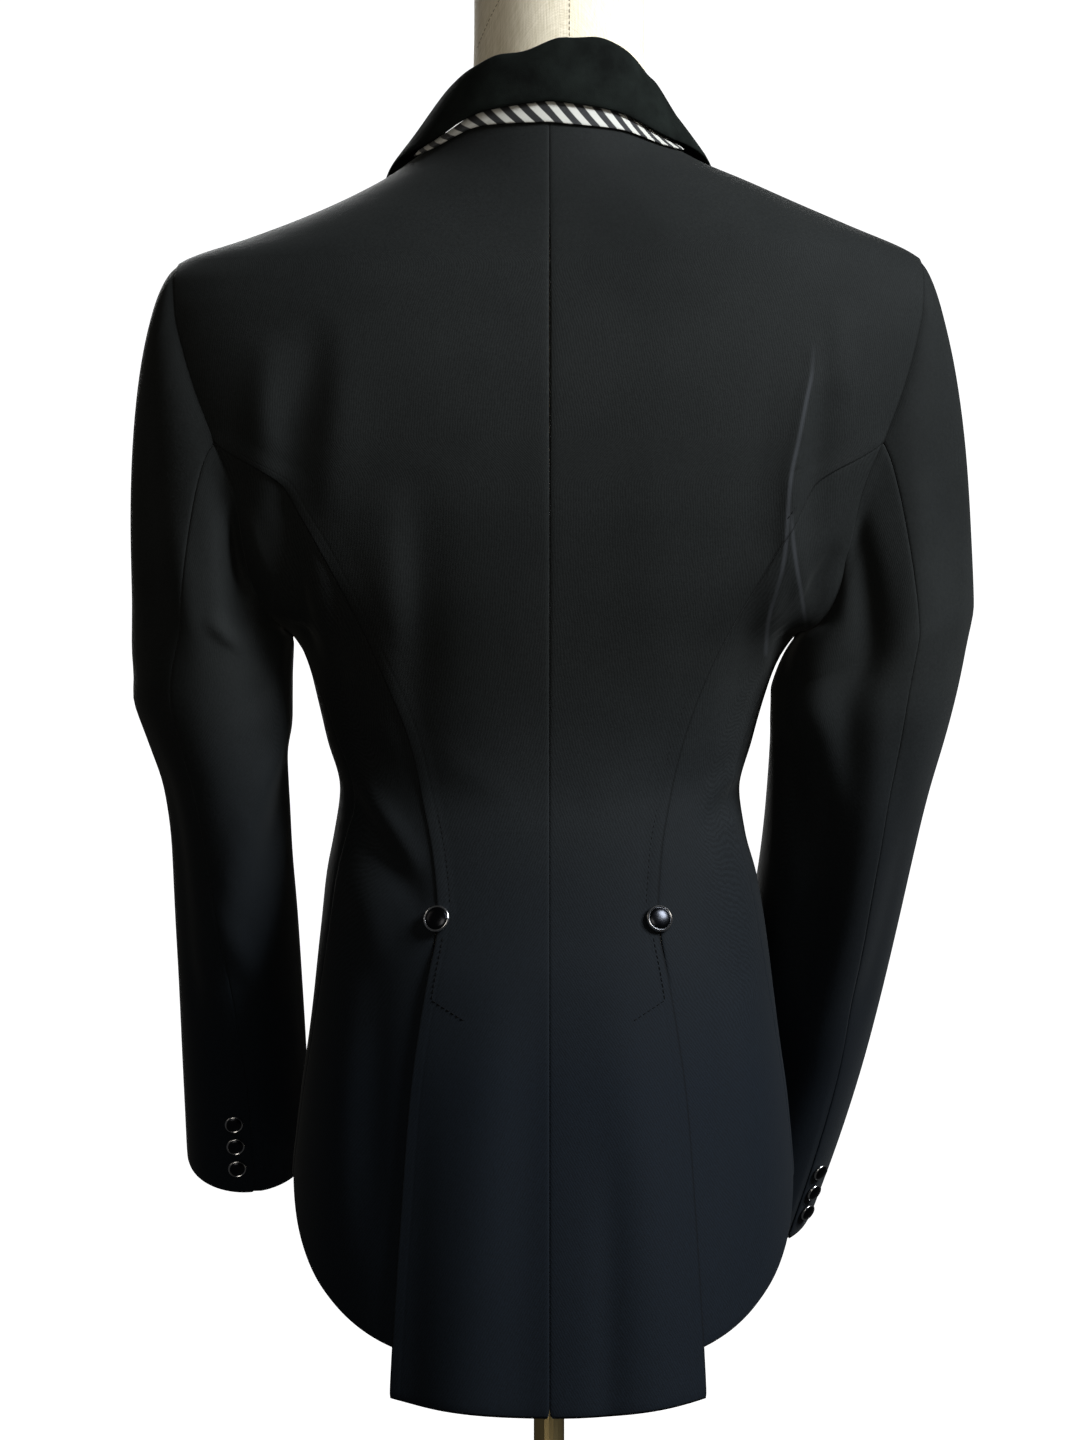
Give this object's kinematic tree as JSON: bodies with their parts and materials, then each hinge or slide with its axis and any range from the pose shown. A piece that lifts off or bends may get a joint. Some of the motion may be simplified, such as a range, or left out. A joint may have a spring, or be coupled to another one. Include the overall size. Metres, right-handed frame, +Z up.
{
  "type": "equestrian show jacket on a limbless dress form with a pole stand",
  "caption": "Tailored riding show jacket with velvet collar and vented tail, worn on a limbless linen dress form on a brass pole with a round base.",
  "frame": {"origin": "centre of the base's underside, on the pole's axis", "axes": "+Z up, the wearer faces -Y, the wearer's left is +X"},
  "size_m": [0.4948, 0.3689, 1.5174],
  "materials": {
    "navy_twill": "matt stretch twill with a soft sheen",
    "black_velvet": "short pile velvet",
    "striped_band": "woven band, black and white slanted stripes",
    "dark_metal_button": "dark polished dome with a bright rim",
    "cream_linen": "plain linen weave",
    "brass": "polished",
    "painted_steel": "satin black"
  },
  "bodies": {
    "root": {"back_left": "navy_twill", "back_right": "navy_twill", "side_left": "navy_twill", "side_right": "navy_twill", "front_left": "navy_twill", "front_right": "navy_twill", "lapel_left": "navy_twill", "lapel_right": "navy_twill", "sleeve_top_left": "navy_twill", "sleeve_under_left": "navy_twill", "sleeve_top_right": "navy_twill", "sleeve_under_right": "navy_twill", "collar": "black_velvet", "collar_band": "striped_band", "button_waist_left": "dark_metal_button", "button_waist_right": "dark_metal_button", "button_cuff_left_1": "dark_metal_button", "button_cuff_left_2": "dark_metal_button", "button_cuff_left_3": "dark_metal_button", "button_cuff_right_1": "dark_metal_button", "button_cuff_right_2": "dark_metal_button", "button_cuff_right_3": "dark_metal_button", "button_front_1": "dark_metal_button", "button_front_2": "dark_metal_button", "button_front_3": "dark_metal_button", "form_torso": "cream_linen", "form_neck_cap": "cream_linen", "stand_pole": "brass", "stand_base": "painted_steel"}
  },
  "joints": []
}
